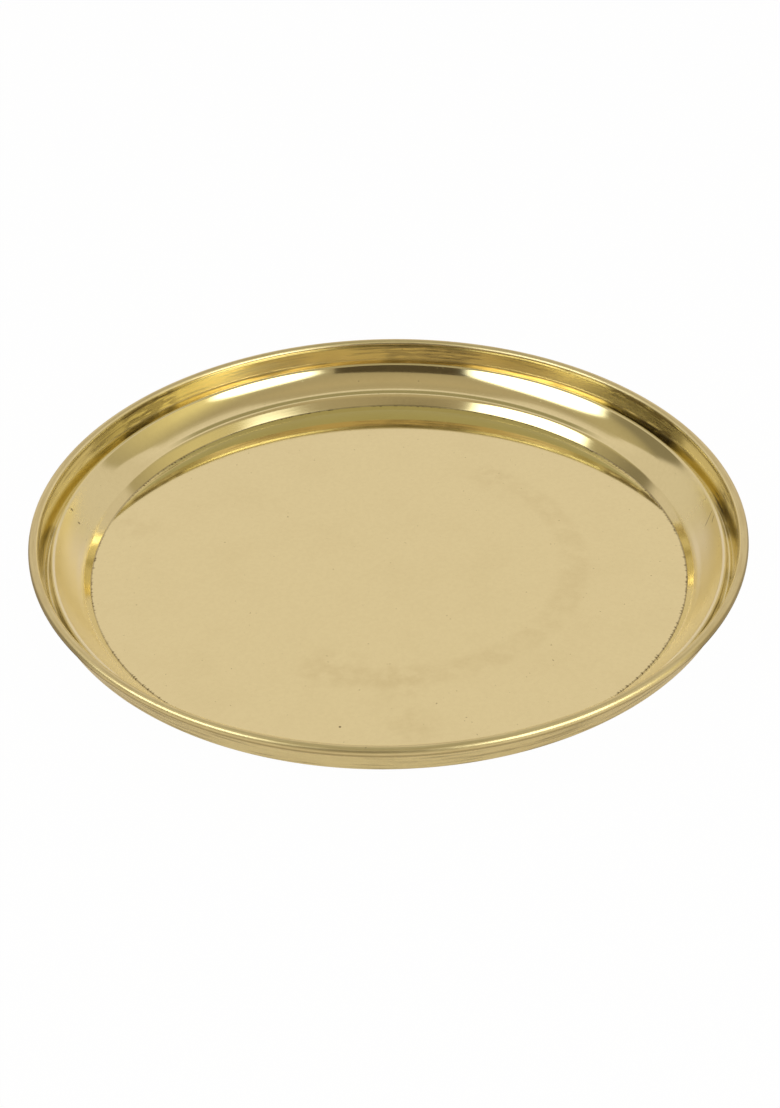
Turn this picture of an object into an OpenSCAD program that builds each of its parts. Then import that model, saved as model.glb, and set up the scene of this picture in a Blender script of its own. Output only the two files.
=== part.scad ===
// Thali plate: a round spun-brass plate with a stepped border and a rim curled over a ring of wire.
// Millimetres, +Z up. The origin is on the plate's axis, in the plane it rests on.

/* [Plate] */
// Diameter across the outside of the rim
rim_d = 235; // [160:1:320]
// Height of the rim's top above the table
plate_h = 20.8; // [16:0.1:30]
// Thickness of the brass sheet
sheet_t = 0.8; // [0.6:0.05:1.1]
// Width of the border, from the crease round the floor to the outside of the rim
border_w = 17.9; // [15:0.1:26]

/* [Border] */
// Slope of the riser at the edge of the floor, in degrees
riser_a = 53; // [50:1:56]
// Top of the riser, as a share of the depth of the plate
riser_share = 0.183; // [0.17:0.001:0.195]
// Distance of the cove's foot from the crease, as a share of the border
cove_in_share = 0.227; // [0.215:0.001:0.24]
// Height of the cove's foot, as a share of the depth
cove_up_share = 0.26; // [0.25:0.001:0.27]
// Distance of the middle of the cove from the crease, as a share of the border
belly_in_share = 0.439; // [0.43:0.001:0.45]
// Height of the middle of the cove, as a share of the depth
belly_up_share = 0.48; // [0.47:0.001:0.49]
// Distance of the ridge from the crease, as a share of the border
ridge_in_share = 0.629; // [0.617:0.001:0.641]
// Height of the ridge, as a share of the depth
ridge_up_share = 0.762; // [0.75:0.001:0.774]
// Distance from the crease of the line where the channel's sides would meet, as a share of the border
channel_in_share = 0.714; // [0.7:0.001:0.73]
// Height of the line where the channel's sides would meet, as a share of the depth
channel_up_share = 0.4; // [0.38:0.001:0.46]

/* [Bends] */
// Radius on the tighter side of the crease round the floor
crease_r = 0.3; // [0.1:0.1:1]
// Radius on the tighter side of the shoulder above the riser
shoulder_r = 8; // [2:0.5:8.5]
// Radius on the tighter side of the cove's foot
cove_r = 15; // [5:1:20]
// Radius on the tighter side of the middle of the cove
belly_r = 30; // [20:1:32]
// Radius on the tighter side of the ridge
ridge_r = 0.1; // [0.05:0.05:0.4]
// Radius on the tighter side of the channel
channel_r = 0.6; // [0.4:0.05:0.7]

/* [Rim] */
// Outside diameter of the curled edge
curl_d = 3.2; // [2.6:0.1:4.5]
// Angle round the curl at which the lip runs into it, in degrees from outward
curl_start_a = 198; // [192:1:208]
// Angle round the curl at which the cut edge of the sheet ends, in degrees from outward
curl_end_a = -106; // [-112:1:-90]
// Gap between the wire and the sheet curled over it
wire_clear = 0.02; // [0.01:0.01:0.08]

/* [Hidden] */
// Parts of the plate
// Part to draw
// Facets of a full circle
$fn = 180;
// Largest angle between two points of a bend, in degrees
bend_step = 4;
// Part of the shorter leg beside a bend that the bend may take up
leg_share = 0.5;
// Radius of the rim
rim_r = rim_d/2;
// Radius of the crease round the floor
floor_r = rim_r - border_w;
// Radius of the curl, outside
curl_r = curl_d/2;
// Middle of the curl, as radius and height
curl_c = [rim_r - curl_r, plate_h - curl_r];
// Depth of the plate, from the top of the floor to the middle of the curl
depth = curl_c[1] - sheet_t;
// Radius of the wire that fills the curl
wire_r = curl_r - sheet_t - wire_clear;
// Brass of the sheet
brass = [0.85, 0.71, 0.4];
// Brass of the drawn wire
wire_brass = [0.78, 0.62, 0.33];

// Corners of the visible face, before they are rounded, from the axis to the curl
corners = [
    [0, sheet_t],
    [floor_r, sheet_t],
    [floor_r + riser_share*depth/tan(riser_a), sheet_t + riser_share*depth],
    [floor_r + cove_in_share*border_w, sheet_t + cove_up_share*depth],
    [floor_r + belly_in_share*border_w, sheet_t + belly_up_share*depth],
    [floor_r + ridge_in_share*border_w, sheet_t + ridge_up_share*depth],
    [floor_r + channel_in_share*border_w, sheet_t + channel_up_share*depth],
    curl_c + curl_r*[cos(curl_start_a), sin(curl_start_a)]
];
// Bend radii of the corners between the first and the last
bends = [crease_r, shoulder_r, cove_r, belly_r, ridge_r, channel_r];

// Heading of the line from p to q, in degrees from outward
function heading(p, q) = atan2(q[1] - p[1], q[0] - p[0]);
// Unit vector to the left of a heading
function left(h) = [-sin(h), cos(h)];
// Unit vector along a heading
function along(h) = [cos(h), sin(h)];
// Numbers of the steps in a turn
function steps(turn) = [0 : ceil(abs(turn)/bend_step)];
// Share of the turn that is done at a step
function done(i, turn) = i/ceil(abs(turn)/bend_step);
// Radius on the visible face of the bend at corner k, no larger than its legs allow
function face_r(k, turn) = min(
    bends[k - 1] + (turn < 0 ? sheet_t : 0),
    leg_share*min(norm(corners[k] - corners[k - 1]), norm(corners[k + 1] - corners[k]))
        /tan(abs(turn)/2));
// Points of the bend at corner k, on the face that lies `under` below the visible one
function bend(k, under) = let(
    from = heading(corners[k - 1], corners[k]),
    turn = heading(corners[k], corners[k + 1]) - from,
    r = face_r(k, turn),
    c = corners[k] - r*tan(abs(turn)/2)*along(from) + sign(turn)*r*left(from))
    [for (i = steps(turn)) c - (sign(turn)*r + under)*left(from + done(i, turn)*turn)];
// Points where the lip meets the curl, on the face that lies `under` below the visible one
function lip_end(under) = let(
    last = len(corners) - 1,
    from = heading(corners[last - 1], corners[last]),
    turn = curl_start_a - 90 - from)
    under == 0 ? [] : [for (i = steps(turn)) corners[last] - under*left(from + done(i, turn)*turn)];
// Points of the curl, on the face that lies `under` below the visible one
function curl(under) = let(turn = curl_end_a - curl_start_a)
    [for (i = steps(turn)) curl_c + (curl_r - under)*along(curl_start_a + done(i, turn)*turn)];
// One whole face of the sheet, from the axis to the cut edge
function face(under) = concat(
    [corners[0] - [0, under]],
    [for (k = [1 : len(bends)]) each bend(k, under)],
    lip_end(under),
    curl(under));
// A list of points, backwards
function reverse(list) = [for (i = [len(list) - 1 : -1 : 0]) list[i]];

// Spun sheet: floor, riser, cove, ridge, channel, lip and the curled rim
module dish() {
    color(brass)
        rotate_extrude()
            polygon(concat(face(0), reverse(face(sheet_t))));
}

// Ring of wire that the edge of the sheet is curled over
module rim_wire() {
    color(wire_brass)
        translate([0, 0, curl_c[1]])
            rotate_extrude()
                translate([curl_c[0], 0])
                    circle(r = wire_r);
}

dish();
rim_wire();
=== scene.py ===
"""Thali plate: the looks of a spun brass plate with a stepped border and a curled rim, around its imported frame."""
import math

import bpy
from mathutils import Matrix, Vector


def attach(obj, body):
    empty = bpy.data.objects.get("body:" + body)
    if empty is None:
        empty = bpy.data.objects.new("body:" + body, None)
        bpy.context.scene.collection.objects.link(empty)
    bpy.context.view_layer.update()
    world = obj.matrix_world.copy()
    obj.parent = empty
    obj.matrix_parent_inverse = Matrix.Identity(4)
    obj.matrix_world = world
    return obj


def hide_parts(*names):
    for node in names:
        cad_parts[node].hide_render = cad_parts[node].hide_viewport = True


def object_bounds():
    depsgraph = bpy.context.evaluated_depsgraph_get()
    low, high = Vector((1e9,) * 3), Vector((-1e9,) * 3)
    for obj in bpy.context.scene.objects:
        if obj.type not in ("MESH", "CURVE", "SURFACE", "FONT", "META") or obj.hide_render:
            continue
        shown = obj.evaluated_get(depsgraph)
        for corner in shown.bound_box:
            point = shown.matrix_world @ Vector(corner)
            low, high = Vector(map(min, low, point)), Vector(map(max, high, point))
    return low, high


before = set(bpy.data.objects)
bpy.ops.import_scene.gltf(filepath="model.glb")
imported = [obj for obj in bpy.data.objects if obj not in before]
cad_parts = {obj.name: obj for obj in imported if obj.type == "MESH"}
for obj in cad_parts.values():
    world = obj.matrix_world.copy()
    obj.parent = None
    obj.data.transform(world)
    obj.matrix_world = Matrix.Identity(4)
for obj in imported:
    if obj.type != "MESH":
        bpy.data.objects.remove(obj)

bl_info = {
    "name": "Thali plate",
    "version": (1, 0, 0),
    "blender": (4, 5, 0),
    "location": "3D View > Sidebar > Thali",
    "description": "Spins a brass thali plate, finishes its brass and sets its stage",
    "category": "Object",
}

CAD_BOX = [list(corner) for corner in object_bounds()]
RIM_D = CAD_BOX[1][0] - CAD_BOX[0][0]
PLATE_H = CAD_BOX[1][2] - CAD_BOX[0][2]

# Width of the photograph in pixels, width of the camera's sensor in millimetres and the camera's near limit
PHOTO_W, SENSOR_W, CLIP_START = 780, 36, 0.01
# Least number of segments in a bend, and the part of a leg beside a bend that the bend may take up
BEND_RINGS, LEG_SHARE = 8, 0.5
# Supporting rings: shortest leg that has them, and distance of the floor's inner one, in support distances
LONG_LEG, FLOOR_SUPPORT = 4, 8
# Distances in metres under which two points of a run, or of a finished mesh, are one
SAME_POINT, MERGE = 1e-7, 1e-6
# Sharpest angle between two faces that are shaded as one surface, in degrees
SMOOTH_ANGLE = 40
# Millimetres in a metre, and a thousandth of a millimetre in metres
MM, MICRON = 1000.0, 1e-6
WHITE = (1, 1, 1, 1)


def length(name, text, value):
    """A size in metres."""
    return bpy.props.FloatProperty(name=name, description=text, default=value, unit="LENGTH", precision=5)


def angle(name, text, degrees):
    """An angle, given in degrees."""
    return bpy.props.FloatProperty(name=name, description=text, default=math.radians(degrees), subtype="ANGLE")


def share(name, text, value):
    """A plain number, such as a share of another size."""
    return bpy.props.FloatProperty(name=name, description=text, default=value, precision=4)


def colour(name, text, value):
    """A linear colour."""
    return bpy.props.FloatVectorProperty(name=name, description=text, default=value, size=3, subtype="COLOR")


class PlateSizes(bpy.types.PropertyGroup):
    """Section of the plate: the same values as its solid."""
    rim_d: length("Rim diameter", "Diameter across the outside of the rim", RIM_D)
    plate_h: length("Height", "Height of the rim's top above the table", PLATE_H)
    sheet_t: length("Sheet", "Thickness of the brass sheet", 0.0008)
    border_w: length("Border", "Width from the crease to the outside of the rim", 0.0179)
    riser_a: angle("Riser slope", "Slope of the riser at the edge of the floor", 53)
    riser: share("Riser top", "Top of the riser, as a share of the depth", 0.183)
    cove_in: share("Cove foot in", "Distance of the cove's foot from the crease, as a share of the border", 0.227)
    cove_up: share("Cove foot up", "Height of the cove's foot, as a share of the depth", 0.26)
    belly_in: share("Belly in", "Distance of the middle of the cove from the crease", 0.439)
    belly_up: share("Belly up", "Height of the middle of the cove", 0.48)
    ridge_in: share("Ridge in", "Distance of the ridge from the crease", 0.629)
    ridge_up: share("Ridge up", "Height of the ridge", 0.762)
    channel_in: share("Channel in", "Distance from the crease of the line where the channel's sides meet", 0.714)
    channel_up: share("Channel up", "Height of the line where the channel's sides meet", 0.4)
    crease_r: length("Crease bend", "Radius of the crease round the floor", 0.0003)
    shoulder_r: length("Shoulder bend", "Radius of the shoulder above the riser", 0.008)
    cove_r: length("Cove bend", "Radius of the cove's foot", 0.015)
    belly_r: length("Belly bend", "Radius of the middle of the cove", 0.030)
    ridge_r: length("Ridge bend", "Radius under the ridge", 0.0001)
    channel_r: length("Channel bend", "Radius of the channel", 0.0006)
    curl_d: length("Curl", "Outside diameter of the curled edge", 0.0032)
    curl_start_a: angle("Curl start", "Angle round the curl where the lip runs into it", 198)
    curl_end_a: angle("Curl end", "Angle round the curl where the cut edge ends", -106)
    bend_step: angle("Bend step", "Largest angle between two rings of a bend", 8)
    support: length("Support", "Distance of a supporting ring from a bend", 0.00015)
    spin_steps: bpy.props.IntProperty(name="Spin steps", description="Segments round the plate", default=320)


class BrassFinish(bpy.types.PropertyGroup):
    """Colours and marks of the brass."""
    polished: colour("Polished brass", "Bright brass of the floor and the border", (0.892, 0.815, 0.462))
    toned: colour("Toned brass", "Deeper brass of stains and of the underside", (0.70, 0.605, 0.31))
    # Brighter brass: a painted highlight along the ridge, and wear along the rim's top
    wear_and_highlight: colour("Worn brass", "Bare brass rubbed bright along the ridge and the rim", (1.0, 0.92, 0.54))
    # Painted warm reflection: laid only on the back of the lip's wall
    lip: colour("Lip brass", "Warmer brass of the lip", (0.98, 0.82, 0.46))
    # Painted pale reflection: paler brass on the front half and sides of the cove and on the channel
    pale_reflection_tint: colour("Hazed brass", "Paler brass of the satin side walls and of the channel", (0.95, 0.88, 0.62))
    # Also the colour of painted shade: at the foot of the rim's front, under the curl and where the lip meets the curl
    grime_and_shade: colour("Grime", "Dark polish residue in creases and ticks", (0.17, 0.125, 0.055))
    wire: colour("Wire brass", "Drawn brass wire inside the rim", (0.74, 0.58, 0.29))
    gloss: share("Gloss", "Roughness of the polished floor", 0.05)
    tool_marks: share("Tool marks", "Height of the turning marks on the border, in thousandths of a millimetre", 0.8)
    sheet_waves: share("Sheet waves", "Height of the long waves left by spinning, in thousandths of a millimetre", 8.0)


class StudioSetup(bpy.types.PropertyGroup):
    """Stage, lamps and camera."""
    paper: colour("Paper", "White paper under the plate", (0.92, 0.88, 0.84))
    pale: colour("Pale", "Warm white of the paper and the walls, as the brass mirrors them", (0.77, 0.674, 0.62))
    paper_share: share("Paper glow", "Part of the paper's brightness for the camera that no shadow dims", 0.985)
    room_low: colour("Room low", "Dim room in front, at the height of the lamps", (0.40, 0.335, 0.245))
    room_high: colour("Room high", "Dim room in front, above the lamps", (0.49, 0.40, 0.29))
    room_top: colour("Ceiling", "Dark ceiling over the camera's side", (0.34, 0.30, 0.20))
    room_left: colour("Room left", "Dim corner low at the left", (0.26, 0.22, 0.16))
    room_glow: colour("Room glow", "Warm spill beside the soft boxes", (0.85, 0.72, 0.42))
    room_back: colour("Room back", "Dim upper room behind the plate", (0.44, 0.41, 0.34))
    room_side: colour("Room side", "Walls at both sides", (0.70, 0.61, 0.55))
    pale_edge: angle("Pale edge", "Height in front at which the pale part of the room starts", 58)
    pale_fall: angle("Pale fall", "How far that height falls at 100 degrees to the side", 21)
    box_glow: share("Soft box glow", "Radiance of the soft boxes", 3.0)
    camera_distance: length("Camera distance", "From the middle of the rim's plane to the camera", 0.550)
    camera_height: angle("Camera height", "Height of the camera above the rim's plane", 34.47)
    camera_roll: angle("Camera roll", "Turn of the camera about its view", -0.96)
    camera_aim: bpy.props.FloatVectorProperty(
        name="Camera aim", description="Point of the rim's plane in the middle of the frame", size=2,
        default=(0.00044, -0.02343), unit="LENGTH", precision=5)
    camera_focal: share("Focal length", "Focal length in pixels of the frame's width", 1660.8)


def heading(p, q):
    """Direction of the line from p to q in the section."""
    return math.atan2(q.y - p.y, q.x - p.x)


def along(h):
    """Unit vector along a heading."""
    return Vector((math.cos(h), math.sin(h)))


def left(h):
    """Unit vector to the left of a heading."""
    return Vector((-math.sin(h), math.cos(h)))


def section_corners(s):
    """Corners of the visible face before they are rounded, from the axis to the curl."""
    floor_r = s.rim_d / 2 - s.border_w
    curl_r = s.curl_d / 2
    curl_c = Vector((s.rim_d / 2 - curl_r, s.plate_h - curl_r))
    depth = curl_c.y - s.sheet_t

    def at(inward, up):
        return Vector((floor_r + inward, s.sheet_t + up * depth))

    corners = [
        Vector((0, s.sheet_t)),
        at(0, 0),
        at(s.riser * depth / math.tan(s.riser_a), s.riser),
        at(s.cove_in * s.border_w, s.cove_up),
        at(s.belly_in * s.border_w, s.belly_up),
        at(s.ridge_in * s.border_w, s.ridge_up),
        at(s.channel_in * s.border_w, s.channel_up),
        curl_c + curl_r * along(s.curl_start_a),
    ]
    return corners, curl_c, curl_r


def arc(centre, radius, start, turn, step):
    """Points of an arc whose normal turns from the heading start by turn."""
    count = max(BEND_RINGS, math.ceil(abs(turn) / step))
    return [centre + radius * left(start + turn * i / count) for i in range(count + 1)]


def face_points(s, under):
    """One face of the sheet, from the axis to the cut edge, at a distance under the visible one."""
    corners, curl_c, curl_r = section_corners(s)
    bends = [s.crease_r, s.shoulder_r, s.cove_r, s.belly_r, s.ridge_r, s.channel_r]
    runs = [[corners[0] - Vector((0, under))]]
    for k, bend_r in enumerate(bends, start=1):
        before, here, after = corners[k - 1], corners[k], corners[k + 1]
        start = heading(before, here)
        turn = heading(here, after) - start
        side = math.copysign(1, turn)
        room = LEG_SHARE * min((here - before).length, (after - here).length)
        radius = min(bend_r + (s.sheet_t if turn < 0 else 0), room / math.tan(abs(turn) / 2))
        centre = here - radius * math.tan(abs(turn) / 2) * along(start) + side * radius * left(start)
        runs.append(arc(centre, -(side * radius + under), start, turn, s.bend_step))
    if under:
        start = heading(corners[-2], corners[-1])
        runs.append(arc(corners[-1], -under, start, s.curl_start_a - math.pi / 2 - start, s.bend_step))
    curl_turn = s.curl_end_a - s.curl_start_a
    runs.append(arc(curl_c, curl_r - under, s.curl_start_a - math.pi / 2, curl_turn, s.bend_step))
    points = list(runs[0])
    for run in runs[1:]:
        gap = run[0] - points[-1]
        if gap.length > LONG_LEG * s.support:
            step = gap.normalized() * s.support
            first = points[-1] + step if len(points) > 1 else run[0] - FLOOR_SUPPORT * step
            points += [first, run[0] - step]
        points += run if gap.length > SAME_POINT else run[1:]
    return points


def deselect():
    """Leaves edit mode and selects nothing."""
    if bpy.context.object and bpy.context.object.mode != "OBJECT":
        bpy.ops.object.mode_set(mode="OBJECT")
    bpy.ops.object.select_all(action="DESELECT")


def spin_section(name, points, steps):
    """Draws a section point by point with extrusions and spins it round the plate's axis."""
    deselect()
    bpy.ops.mesh.primitive_plane_add(size=0.001, location=(points[0].x, 0, points[0].y))
    piece = bpy.context.object
    piece.name = name
    bpy.ops.object.transform_apply(location=True, rotation=True, scale=True)
    bpy.ops.object.mode_set(mode="EDIT")
    bpy.ops.mesh.merge(type="CENTER")
    for here, there in zip(points, points[1:]):
        step = there - here
        bpy.ops.mesh.extrude_region_move(TRANSFORM_OT_translate={"value": (step.x, 0, step.y)})
    bpy.ops.mesh.select_all(action="SELECT")
    bpy.ops.mesh.spin(steps=steps, angle=2 * math.pi, center=(0, 0, 0), axis=(0, 0, 1))
    bpy.ops.mesh.select_all(action="SELECT")
    bpy.ops.mesh.remove_doubles(threshold=MERGE)
    bpy.ops.mesh.normals_make_consistent(inside=False)
    bpy.ops.object.mode_set(mode="OBJECT")
    return piece


class Value:
    """A shader socket that takes part in Python expressions."""

    def __init__(self, tree, socket):
        self.tree, self.socket = tree, socket

    def node(self, kind, settings=None, out=0, **inputs):
        """Adds any node: its settings, then the values or links of its sockets by name, or by number as i0, i1."""
        node = self.tree.nodes.new("ShaderNode" + kind)
        for key, value in (settings or {}).items():
            setattr(node, key, value)
        for key, value in inputs.items():
            numbered = key[0] == "i" and key[1:].isdigit()
            socket = node.inputs[int(key[1:]) if numbered else key.replace("_", " ")]
            if isinstance(value, Value):
                self.tree.links.new(value.socket, socket)
            else:
                socket.default_value = value
        return Value(self.tree, node.outputs[out])

    def math(self, operation, *others):
        """Adds a Math node with this value first."""
        return self.node("Math", {"operation": operation}, **{f"i{k}": v for k, v in enumerate((self, *others))})

    def after(self, operation, first):
        """Adds a Math node with a number first and this value second."""
        return self.node("Math", {"operation": operation}, i0=first, i1=self)

    def __add__(self, other): return self.math("ADD", other)
    __radd__ = __add__
    def __mul__(self, other): return self.math("MULTIPLY", other)
    __rmul__ = __mul__
    def __sub__(self, other): return self.math("SUBTRACT", other)
    def __rsub__(self, other): return self.after("SUBTRACT", other)
    def __truediv__(self, other): return self.math("DIVIDE", other)
    def __rtruediv__(self, other): return self.after("DIVIDE", other)
    def __pow__(self, other): return self.math("POWER", other)
    def __rpow__(self, other): return self.after("POWER", other)

    def window(self, low, high, soft):
        """1 between low and high, falling to 0 over a soft edge on both sides."""
        return self.ramp(low - soft, low) * (1 - self.ramp(high, high + soft))

    def ramp(self, low, high):
        """Smooth step from 0 at low to 1 at high."""
        return self.node("MapRange", {"interpolation_type": "SMOOTHSTEP"}, Value=self, From_Min=low, From_Max=high)

    def mix(self, first, second):
        """Blends two colours by this value."""
        return self.node("Mix", {"data_type": "RGBA"}, out=2, i0=self, i6=first, i7=second)


def new_material(name):
    """An empty node material with its shader and the piece's own coordinates."""
    material = bpy.data.materials.new(name)
    material.use_nodes = True
    tree = material.node_tree
    shader = tree.nodes["Principled BSDF"]
    coords = tree.nodes.new("ShaderNodeTexCoord")
    return material, tree, shader, Value(tree, coords.outputs["Object"])


def rgba(value):
    """A colour with full alpha."""
    return (*value, 1)


def axes(value):
    """The three numbers of a vector."""
    return [value.node("SeparateXYZ", out=k, Vector=value) for k in range(3)]


def blend(base, mask, tint):
    """Lays a tint over a colour where the mask is 1."""
    return mask.mix(base, tint)


def layered(*pairs):
    """Sum of masks, each times its weight."""
    return sum(mask * weight for mask, weight in pairs)


class SpunSurface:
    """Millimetre coordinates of the plate and noises that follow its turning."""

    def __init__(self, point):
        self.point = point
        self.x, self.y, self.z = (axis * MM for axis in axes(point))
        self.radius = (self.x * self.x + self.y * self.y) ** 0.5
        self.east, self.north = self.x / self.radius, self.y / self.radius
        self.across = self.radius + self.z

    def ring_noise(self, around, outward, detail=2.0):
        """Noise drawn out round the axis: patches a radian, and patches a millimetre of the section."""
        place = self.point.node("CombineXYZ", X=self.east * around, Y=self.north * around, Z=self.across * outward)
        return self.point.node("TexNoise", Vector=place, Scale=1.0, Detail=detail)

    def even_noise(self, scale, detail=2.0):
        """Noise with the same patches a metre in all directions."""
        return self.point.node("TexNoise", Vector=self.point, Scale=scale, Detail=detail)

    def facing(self, degrees):
        """Cosine of the angle between a point's direction from the axis and a direction."""
        a = math.radians(degrees)
        return self.east * math.cos(a) + self.north * math.sin(a)

    def spot(self, x, y, size, soft):
        """1 within a size of a place seen from above, falling to 0 over a soft edge."""
        dx, dy = self.x - x, self.y - y
        return 1 - ((dx * dx + dy * dy) ** 0.5).ramp(size, size + soft)

    def streak(self, x, y, degrees, half, width):
        """A straight mark seen from above: its middle, direction, half its length and its width."""
        a = math.radians(degrees)
        dx, dy = self.x - x, self.y - y
        along = (dx * math.cos(a) + dy * math.sin(a)).math("ABSOLUTE")
        off = (dy * math.cos(a) - dx * math.sin(a)).math("ABSOLUTE")
        return (1 - along.ramp(half * 0.6, half)) * (1 - off.ramp(width * 0.3, width))


# Marks of the plate, with places in millimetres seen from above and directions in degrees from +X
# Specks of polish: x, y, size, soft edge
SPECKS = [(-15.3, -84.9, 0.25, 0.25), (-107.8, 15.7, 0.25, 0.3), (-105.4, 12.8, 0.2, 0.3)]
# Scratches: x, y, direction, half the length, width
SCRATCHES = [(107.9, 5.5, 55, 2.6, 0.16), (108.9, 3.4, 70, 1.4, 0.12)]
# Smudges: x, y, size, soft edge
SMUDGES = [(-18.0, -58.0, 5.0, 9.0), (3.0, -64.0, 4.0, 9.0), (5.5, -84.6, 3.0, 8.0), (37.0, 48.0, 3.0, 9.0),
           (-88.0, 22.0, 3.0, 8.0)]
# Dark patches on the lip: direction, cosines from it where the patch starts and is full, weight
LIP_DARK_PATCHES = [(35, 0.984, 0.993, 1.0), (140, 0.991, 0.996, 0.7), (82, 0.986, 0.994, 0.4), (3, 0.993, 0.998, 0.45)]
# Faint ring on the floor: inner and outer radius, soft edge, and the direction of its middle
FLOOR_RING, RING_FACING = (60.0, 65.0, 4.0), -32
# Depths in thousandths of a millimetre: ticks, pits with specks, and the hollow in the cove
TICK_DEPTH, PIT_DEPTH, HOLLOW_DEPTH = 12.0, 8.0, 30.0
# Half the width of that hollow, and how far inside the middle between the cove's foot and its belly it lies
HOLLOW_HALF, HOLLOW_SHIFT = 2.6, 0.7
# Most grime and painted shade on any spot
GRIME_AND_SHADE_MOST = 0.9


class PlateZones:
    """Masks of the plate's rings, and the radii and heights in millimetres that they follow."""

    def __init__(self, s, sizes):
        self.rim_r = sizes.rim_d / 2 * MM
        self.floor_r = floor_r = self.rim_r - sizes.border_w * MM
        ridge_r = floor_r + sizes.ridge_in * sizes.border_w * MM
        curl_r = sizes.curl_d / 2 * MM
        self.lip_r = lip_r = self.rim_r - curl_r * (1 - math.cos(sizes.curl_start_a))
        self.lip_z = lip_z = sizes.plate_h * MM - curl_r * (1 - math.sin(sizes.curl_start_a))
        hollow_r = floor_r + (sizes.cove_in + sizes.belly_in) / 2 * sizes.border_w * MM - HOLLOW_SHIFT

        self.upward = axes(s.point.node("NewGeometry", out="Normal"))[2].ramp(-0.1, 0.1)
        self.under = 1 - self.upward
        self.border = s.radius.ramp(floor_r - 0.3, floor_r + 0.4)
        self.riser = s.radius.window(floor_r + 0.2, floor_r + 2.2, 0.3)
        cove = s.radius.window(floor_r + 2.2, ridge_r - 0.2, 0.6)
        self.satin = cove * (1 - s.north.ramp(0.1, 0.4))
        # Where the painted pale reflection lies on the cove: its front half and sides
        self.pale_reflection_cove = cove * (1 - s.north.ramp(-0.05, 0.12))
        self.hollow = s.radius.window(hollow_r, hollow_r, HOLLOW_HALF)
        self.channel = s.radius.window(ridge_r + 0.1, ridge_r + 1.3, 0.2) * self.upward
        self.lip = s.radius.ramp(ridge_r - 0.1, ridge_r + 0.5)
        self.bead = s.radius.ramp(lip_r - 0.05, lip_r + 0.25) * s.z.ramp(lip_z - 2.5, lip_z - 1.5)
        self.wall = self.lip * (1 - self.bead)
        # Painted highlight along the inner side of the ridge's top, and wear along the rim's top
        ridge_highlight = s.radius.window(ridge_r - 0.44, ridge_r - 0.22, 0.1)
        rim_line = s.radius.window(lip_r + 0.25, lip_r + 0.45, 0.15)
        self.wear_and_highlight = self.upward * (ridge_highlight + rim_line)


def dark_marks(s, zones):
    """Ticks along the crease, pits with specks, and all the grime together with the painted shade of the rim."""
    floor_r, lip_r, lip_z, rim_r = zones.floor_r, zones.lip_r, zones.lip_z, zones.rim_r
    patchy = s.ring_noise(3.0, 0.0).ramp(0.34, 0.54)
    comb = s.ring_noise(floor_r * 1.3, 0.0, 1.0).ramp(0.52, 0.62)
    reach = floor_r - 0.3 - 1.1 * s.ring_noise(floor_r * 0.5, 0.0, 1.0)
    on_floor = 1 - s.radius.ramp(floor_r - 0.1, floor_r + 0.1)
    ticks = comb * (s.radius - reach).ramp(0.0, 0.5) * on_floor * patchy
    crease = s.radius.window(floor_r - 0.22, floor_r + 0.12, 0.18) * (0.55 + 0.45 * patchy)
    # Painted shade: a dark line where the lip runs into the curl
    curl_join_shade = s.radius.window(lip_r - 0.14, lip_r + 0.06, 0.14) * s.z.ramp(lip_z - 0.6, lip_z - 0.2)
    rim_side = s.radius.ramp(rim_r - 1.3, rim_r - 0.6) * (1 - s.z.ramp(lip_z + 1.4, lip_z + 1.9))
    # Painted shade: a dark band at the foot of the rim's outer side, on the front half of the plate only
    rim_front_shade = rim_side * s.north.window(-0.6, -0.14, 0.12)
    pits = s.even_noise(900.0, 1.0).ramp(0.755, 0.785) * s.even_noise(120.0, 1.0).ramp(0.5, 0.6)
    specks = sum(s.spot(*speck) for speck in SPECKS) + sum(s.streak(*scratch) for scratch in SCRATCHES)
    streaks = s.ring_noise(6.0, 1.1, 2.0).ramp(0.44, 0.68) * s.ring_noise(3.2, 0.1).ramp(0.42, 0.56)
    patches = layered(*((s.facing(way).ramp(start, full), weight) for way, start, full, weight in LIP_DARK_PATCHES))
    lip_dark_patches = patches * s.ring_noise(14.0, 0.8, 2.0).ramp(0.38, 0.52)
    # Grime in the ticks, crease, streaks and pits, dark patches on the lip, and painted shade where the lip meets the
    # curl, on the rim's front and under the curl
    grime_and_shade = layered(
        (ticks, 0.75), (crease, 0.5), (curl_join_shade, 0.3), (rim_front_shade, 0.6),
        (zones.wall * streaks, 0.5), (zones.wall * lip_dark_patches, 0.65),
        # Painted shade on the underside of the curl
        (zones.upward * pits, 0.4), (zones.upward * specks, 0.75), (zones.bead * zones.under, 0.3))
    return ticks, pits + specks, grime_and_shade.math("MINIMUM", GRIME_AND_SHADE_MOST)


def thin_film(s, zones, turning, streaked, mottle):
    """Thin tone over the brass: a faint ring, smudges, mottling and grain, and more on the riser, lip and bead."""
    cloud = s.even_noise(160.0, 3.0)
    ring = s.radius.window(*FLOOR_RING) * s.facing(RING_FACING).ramp(-0.1, 0.55) * cloud.ramp(0.25, 0.65)
    smudges = sum(s.spot(*smudge) for smudge in SMUDGES) * cloud.ramp(0.35, 0.65)
    grain = s.even_noise(700.0, 2.0).ramp(0.3, 0.7)
    return layered(
        (ring, 0.22), (smudges, 0.22), (mottle.ramp(0.45, 0.75), 0.10), (grain, 0.09), (zones.riser, 0.2),
        (zones.lip * turning.ramp(0.35, 0.65), 0.15), (zones.bead, 0.4), (zones.bead * streaked, 0.35))


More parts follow.
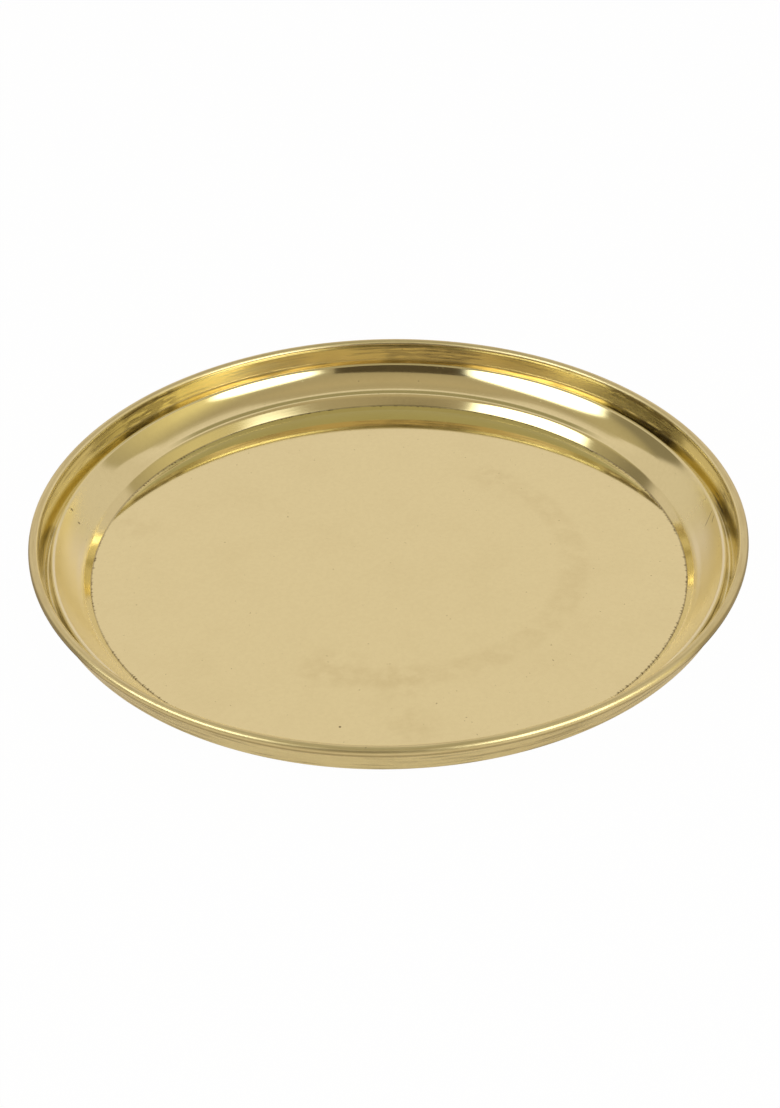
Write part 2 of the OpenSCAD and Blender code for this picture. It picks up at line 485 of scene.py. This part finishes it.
def spun_brass(finish, sizes):
    """Polished brass with turning marks, grime and ticks along the crease, specks, smudges and a faint ring, with
    painted shade on the rim, a painted highlight on the ridge and painted warm and pale reflections on the lip, cove
    and channel.
    """
    material, tree, shader, point = new_material("spun_brass")
    s = SpunSurface(point)
    zones = PlateZones(s, sizes)
    turning = s.ring_noise(5.0, 2.2, 3.0)
    fine_turning = s.ring_noise(14.0, 7.0)
    streaked = s.ring_noise(9.0, 1.6, 3.0).ramp(0.35, 0.65)
    mottle = s.even_noise(45.0, 4.0)
    waves = s.even_noise(55.0, 1.0)
    ticks, pits, grime_and_shade = dark_marks(s, zones)
    film = thin_film(s, zones, turning, streaked, mottle)

    toned = (film + zones.under * (0.1 + 0.35 * mottle)).math("MINIMUM", 1.0)
    tone = blend(rgba(finish.polished), toned, rgba(finish.toned))
    # Painted warm reflection: warmer brass only on the back of the lip's wall
    tone = blend(tone, zones.wall * zones.upward * s.north.ramp(0.6, 0.95) * 0.8, rgba(finish.lip))
    # Painted pale reflection on the cove's front half and sides and on the channel
    tone = blend(tone, (zones.pale_reflection_cove * 0.75).math("MAXIMUM", zones.channel * 0.9), rgba(finish.pale_reflection_tint))
    # Painted highlight along the ridge and wear along the rim, as brighter brass
    tone = blend(tone, zones.wear_and_highlight * (0.45 + 0.55 * streaked), rgba(finish.wear_and_highlight))
    # Grime together with painted shade
    tone = blend(tone, grime_and_shade, rgba(finish.grime_and_shade))
    rough = finish.gloss + layered(
        (zones.border, 0.03), (zones.satin, 0.20), (zones.channel, 0.2), (zones.lip, 0.03), (zones.bead, 0.2),
        (zones.under, 0.12), ((turning - 0.5) * zones.border, 0.04), (film, 0.06), (grime_and_shade, 0.25))
    lift = ((turning + fine_turning * 0.5) * (0.12 + 0.88 * zones.border) * finish.tool_marks
            + waves * (0.25 + 0.75 * zones.border) * finish.sheet_waves
            - zones.hollow * HOLLOW_DEPTH - ticks * TICK_DEPTH - pits * PIT_DEPTH)
    bump = point.node("Bump", Height=lift, Distance=MICRON, Strength=1.0)
    tree.links.new(tone.socket, shader.inputs["Base Color"])
    tree.links.new(rough.socket, shader.inputs["Roughness"])
    tree.links.new(bump.socket, shader.inputs["Normal"])
    shader.inputs["Metallic"].default_value = 1.0
    return material


def drawn_wire(finish):
    """Dull brass of the wire inside the rim, with lines left by drawing."""
    material, tree, shader, point = new_material("drawn_wire")
    s = SpunSurface(point)
    lines = s.ring_noise(6.0, 9.0)
    tone = blend(rgba(finish.wire), lines.ramp(0.3, 0.7), rgba(finish.toned))
    rough = 0.26 + lines * 0.16
    bump = point.node("Bump", Height=lines * 3.0, Distance=MICRON, Strength=1.0)
    tree.links.new(tone.socket, shader.inputs["Base Color"])
    tree.links.new(rough.socket, shader.inputs["Roughness"])
    tree.links.new(bump.socket, shader.inputs["Normal"])
    shader.inputs["Metallic"].default_value = 1.0
    return material


class THALI_OT_spin_dish(bpy.types.Operator):
    """Spin the plate's sheet from its section and give it polished brass"""
    bl_idname = "thali.spin_dish"
    bl_label = "Spin the dish"

    def execute(self, context):
        sizes = context.scene.thali_sizes
        front = face_points(sizes, 0.0)
        back = face_points(sizes, sizes.sheet_t)
        piece = spin_section("spun_dish", front + back[::-1], sizes.spin_steps)
        bpy.ops.object.shade_smooth_by_angle(angle=math.radians(SMOOTH_ANGLE))
        piece.data.materials.clear()
        piece.data.materials.append(spun_brass(context.scene.thali_finish, sizes))
        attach(piece, "root")
        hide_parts("dish")
        return {"FINISHED"}


class THALI_OT_finish_wire(bpy.types.Operator):
    """Give the ring of wire in the rim its drawn brass"""
    bl_idname = "thali.finish_wire"
    bl_label = "Finish the rim wire"

    def execute(self, context):
        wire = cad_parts["rim_wire"]
        wire.data.materials.clear()
        wire.data.materials.append(drawn_wire(context.scene.thali_finish))
        return {"FINISHED"}


# Stage: size of the paper and its drop under the plate, which keeps the two faces apart, in metres
PAPER_SIZE, PAPER_DROP = (6, 6), 0.0003
# Part of the paper's look in the brass that no shadow dims
PAPER_MIRRORED = 0.3
# Roughness of the paper and of the flag's cloth, and the two greys of the cloth
MATT = 0.9
CLOTH_DARK, CLOTH_LIGHT = (0.08, 0.065, 0.045), (0.13, 0.11, 0.075)
# Flag and soft boxes: azimuth from the camera's side, elevation, distance and roll, then width and height
FLAG = (-8, 33, 1.2, 0), (0.96, 0.54)
SOFT_BOXES = {
    "soft_box_left": ((-62, 35.3, 1.0, 12), (0.96, 0.39)),
    "soft_box_right": ((46.5, 28.3, 1.0, -9), (0.86, 0.56)),
}
# Power of a soft box's rounded outline, and where its cloth starts to dim and ends
BOX_ROUND, BOX_FADE = 2.5, (0.4, 1.0)


def paper_material(studio):
    """White paper that keeps the plate's shadow, and glows evenly for the camera and in the polished brass."""
    material, tree, shader, point = new_material("white_paper")
    shader.inputs["Base Color"].default_value = rgba(studio.paper)
    shader.inputs["Roughness"].default_value = MATT
    shader.inputs["Specular IOR Level"].default_value = 0.0
    camera_ray = point.node("LightPath", out="Is Camera Ray")
    glossy_ray = point.node("LightPath", out="Is Glossy Ray")
    clear_ray = point.node("LightPath", out="Is Transmission Ray")
    lit = Value(tree, shader.outputs[0])
    mirrored = point.node("Emission", Color=rgba(studio.pale), Strength=1.0)
    white = point.node("Emission", Color=WHITE, Strength=1.0)
    seen = point.node("MixShader", i0=(glossy_ray + clear_ray) * PAPER_MIRRORED, i1=lit, i2=mirrored)
    seen = point.node("MixShader", i0=camera_ray * studio.paper_share, i1=seen, i2=white)
    tree.links.new(seen.socket, tree.nodes["Material Output"].inputs[0])
    return material


def flag_material():
    """Black cloth of the flag between the lamps."""
    material, tree, shader, point = new_material("black_cloth")
    weave = point.node("TexNoise", Vector=point, Scale=400.0)
    tree.links.new(weave.mix(rgba(CLOTH_DARK), rgba(CLOTH_LIGHT)).socket, shader.inputs["Base Color"])
    shader.inputs["Roughness"].default_value = MATT
    return material


def direction(azimuth, elevation):
    """Unit vector to a place of the studio, with azimuth from the camera's side."""
    a, e = math.radians(azimuth), math.radians(elevation)
    return Vector((math.sin(a) * math.cos(e), -math.cos(a) * math.cos(e), math.sin(e)))


def add_card(name, size, turned, material):
    """A flat card of the stage, moved and turned by a matrix."""
    deselect()
    bpy.ops.mesh.primitive_plane_add(size=1)
    card = bpy.context.object
    card.name = name
    card.matrix_world = turned @ Matrix.Diagonal((*size, 1, 1))
    bpy.ops.object.transform_apply(location=True, rotation=True, scale=True)
    card.data.materials.append(material)
    return card


def facing_plate(azimuth, elevation, distance, roll):
    """Place and turn of a lamp or card that looks at the plate."""
    way = direction(azimuth, elevation)
    look = (-way).to_track_quat("-Z", "Y").to_matrix().to_4x4()
    return Matrix.Translation(distance * way) @ look @ Matrix.Rotation(math.radians(roll), 4, "Z")


def soft_box(name, turned, size, glow):
    """Rectangular soft box with rounded corners, whose cloth dims towards its edges."""
    lamp = bpy.data.lights.new(name, "AREA")
    lamp.shape = "RECTANGLE"
    lamp.size, lamp.size_y = size
    lamp.energy = glow * size[0] * size[1] * math.pi
    lamp.use_nodes = True
    tree = lamp.node_tree
    cloth = Value(tree, tree.nodes.new("ShaderNodeNewGeometry").outputs["Parametric"])
    off = sum((axis * 2.0 - 1.0).math("ABSOLUTE") ** BOX_ROUND for axis in axes(cloth)[:2])
    tree.links.new((1 - off.ramp(*BOX_FADE)).socket, tree.nodes["Emission"].inputs["Strength"])
    box = bpy.data.objects.new(name, lamp)
    bpy.context.scene.collection.objects.link(box)
    box.matrix_world = turned


# Room that the brass mirrors, in degrees: heights above the horizon, and turns from the camera's side.
# Two numbers are the start and the end of a change, and three are a band and its soft edge.
# Dim room in front: height at which its low part turns into its high part
ROOM_RISE = (37.0, 54.0)
# Its upper edge: turn and power of its fall, drops at two turns, softness, and a darker rim under it with its share
FALL_TURN, FALL_POWER = 100.0, 2.13
EDGE_DROPS = [((40.0, 70.0), 1.8), ((96.0, 113.0), 6.5)]
EDGE_SOFT = (-0.4, 0.4)
EDGE_RIM, EDGE_RIM_TURN, EDGE_RIM_SHARE = (-2.0, 0.0, 1.0), (50.0, 80.0), 0.6
# Its side edge, which reaches further at the left below a height
SIDE_TURN = (110.0, 114.5)
REACH_BELOW, REACH_TURN, REACH_SHARE = 22.0, (60.0, 90.0), 0.55
# Dim corner low at the left
CORNER_TURN, CORNER_RISE = (80.0, 118.0, 14.0), (20.0, 33.0)
# Warm spill beside the right soft box, and a weaker one at the left
SPILL_START, SPILL_END, SPILL_RISE = (46.0, 62.0), (66.0, 122.0), (25.0, 45.0)
LEFT_SPILL_TURN, LEFT_SPILL_RISE, LEFT_SPILL_SHARE = (75.0, 110.0, 16.0), (27.0, 36.0, 7.0), 0.18
# Shaded part of the walls, the ceiling in front and the upper room behind
WALL_SHADE = (112.0, 140.0, 12.0)
CEILING_RISE, CEILING_TURN = (62.2, 63.4), (88.0, 104.0)
BACK_RISE, BACK_TURN = (42.0, 50.0), (125.0, 140.0)


def studio_room(studio):
    """Room by direction: a dim part in front, pale walls that reach down at the sides, and white for the camera."""
    world = bpy.data.worlds.new("studio_room")
    world.use_nodes = True
    tree = world.node_tree
    way = Value(tree, tree.nodes.new("ShaderNodeTexCoord").outputs["Generated"])
    x, y, z = axes(way)
    up = z.math("ARCSINE").math("DEGREES")
    turned = x.math("ARCTAN2", y * -1.0).math("DEGREES")
    aside, leftward = turned.math("ABSOLUTE"), 0 - turned

    fall = (aside / FALL_TURN) ** FALL_POWER * math.degrees(studio.pale_fall)
    drop = layered(*((aside.ramp(*turn), amount) for turn, amount in EDGE_DROPS))
    above = up - (math.degrees(studio.pale_edge) - fall - drop)
    reach = (REACH_BELOW - up).math("MAXIMUM", 0.0) * leftward.ramp(*REACH_TURN) * REACH_SHARE
    outside = above.ramp(*EDGE_SOFT).math("MAXIMUM", (aside - reach).ramp(*SIDE_TURN))
    walls = aside.window(*WALL_SHADE).mix(rgba(studio.pale), rgba(studio.room_side))

    corner = leftward.window(*CORNER_TURN) * (1 - up.ramp(*CORNER_RISE))
    spill = turned.ramp(*SPILL_START) * (1 - turned.ramp(*SPILL_END)) * (1 - up.ramp(*SPILL_RISE))
    left_spill = leftward.window(*LEFT_SPILL_TURN) * up.window(*LEFT_SPILL_RISE)
    edge_rim = above.window(*EDGE_RIM) * (1 - aside.ramp(*EDGE_RIM_TURN))
    ceiling = (up + fall).ramp(*CEILING_RISE) * (1 - aside.ramp(*CEILING_TURN))
    behind = up.ramp(*BACK_RISE) * aside.ramp(*BACK_TURN)

    light = up.ramp(*ROOM_RISE).mix(rgba(studio.room_low), rgba(studio.room_high))
    light = blend(light, corner, rgba(studio.room_left))
    light = blend(light, (spill + left_spill * LEFT_SPILL_SHARE).math("MINIMUM", 1.0), rgba(studio.room_glow))
    light = blend(light, edge_rim * EDGE_RIM_SHARE, rgba(studio.room_low))
    light = blend(light, outside, walls)
    light = blend(light, ceiling, rgba(studio.room_top))
    light = blend(light, behind, rgba(studio.room_back))
    light = blend(light, way.node("LightPath", out="Is Camera Ray"), WHITE)
    tree.links.new(light.socket, tree.nodes["Background"].inputs[0])
    return world


class THALI_OT_set_stage(bpy.types.Operator):
    """Set the paper stage, the soft boxes and the camera"""
    bl_idname = "thali.set_stage"
    bl_label = "Set the stage"

    def execute(self, context):
        studio = context.scene.thali_studio
        sizes = context.scene.thali_sizes
        add_card("paper_floor", PAPER_SIZE, Matrix.Translation((0, 0, -PAPER_DROP)), paper_material(studio))
        flag_place, flag_size = FLAG
        flag = add_card("dark_flag", flag_size, facing_plate(*flag_place), flag_material())
        flag.visible_camera = False
        for name, (place, size) in SOFT_BOXES.items():
            soft_box(name, facing_plate(*place), size, studio.box_glow)
        context.scene.world = studio_room(studio)
        self.set_camera(context.scene, studio, sizes)
        context.scene.view_settings.view_transform = "Standard"
        return {"FINISHED"}

    def set_camera(self, scene, studio, sizes):
        """Places the camera by its distance, height and aim at the rim's plane."""
        level = sizes.plate_h - sizes.curl_d / 2
        d, e = studio.camera_distance, studio.camera_height
        place = Vector((0, -d * math.cos(e), d * math.sin(e) + level))
        aim = Vector((*studio.camera_aim, level))
        camera = bpy.data.objects.new("camera", bpy.data.cameras.new("camera"))
        scene.collection.objects.link(camera)
        scene.camera = camera
        camera.data.sensor_fit = "HORIZONTAL"
        camera.data.sensor_width = SENSOR_W
        camera.data.lens = studio.camera_focal / PHOTO_W * SENSOR_W
        camera.data.clip_start = CLIP_START
        view = (aim - place).to_track_quat("-Z", "Y").to_matrix().to_4x4()
        camera.matrix_world = Matrix.Translation(place) @ view @ Matrix.Rotation(studio.camera_roll, 4, "Z")


class THALI_PT_panel(bpy.types.Panel):
    """Sidebar panel of the plate"""
    bl_idname = "THALI_PT_panel"
    bl_label = "Thali plate"
    bl_space_type = "VIEW_3D"
    bl_region_type = "UI"
    bl_category = "Thali"

    def draw(self, context):
        for operator in (THALI_OT_spin_dish, THALI_OT_finish_wire, THALI_OT_set_stage):
            self.layout.operator(operator.bl_idname)
        for group in (context.scene.thali_sizes, context.scene.thali_finish, context.scene.thali_studio):
            for key in group.bl_rna.properties.keys():
                if key not in {"rna_type", "name"}:
                    self.layout.prop(group, key)


CLASSES = (PlateSizes, BrassFinish, StudioSetup, THALI_OT_spin_dish, THALI_OT_finish_wire, THALI_OT_set_stage,
           THALI_PT_panel)


def register():
    """Registers the add-on's classes and its settings."""
    for cls in CLASSES:
        bpy.utils.register_class(cls)
    bpy.types.Scene.thali_sizes = bpy.props.PointerProperty(type=PlateSizes)
    bpy.types.Scene.thali_finish = bpy.props.PointerProperty(type=BrassFinish)
    bpy.types.Scene.thali_studio = bpy.props.PointerProperty(type=StudioSetup)


def unregister():
    """Takes the settings and the classes out again."""
    del bpy.types.Scene.thali_sizes, bpy.types.Scene.thali_finish, bpy.types.Scene.thali_studio
    for cls in reversed(CLASSES):
        bpy.utils.unregister_class(cls)


def main():
    """Builds the plate and its stage."""
    register()
    bpy.ops.thali.spin_dish()
    bpy.ops.thali.finish_wire()
    bpy.ops.thali.set_stage()


if __name__ == "__main__":
    main()
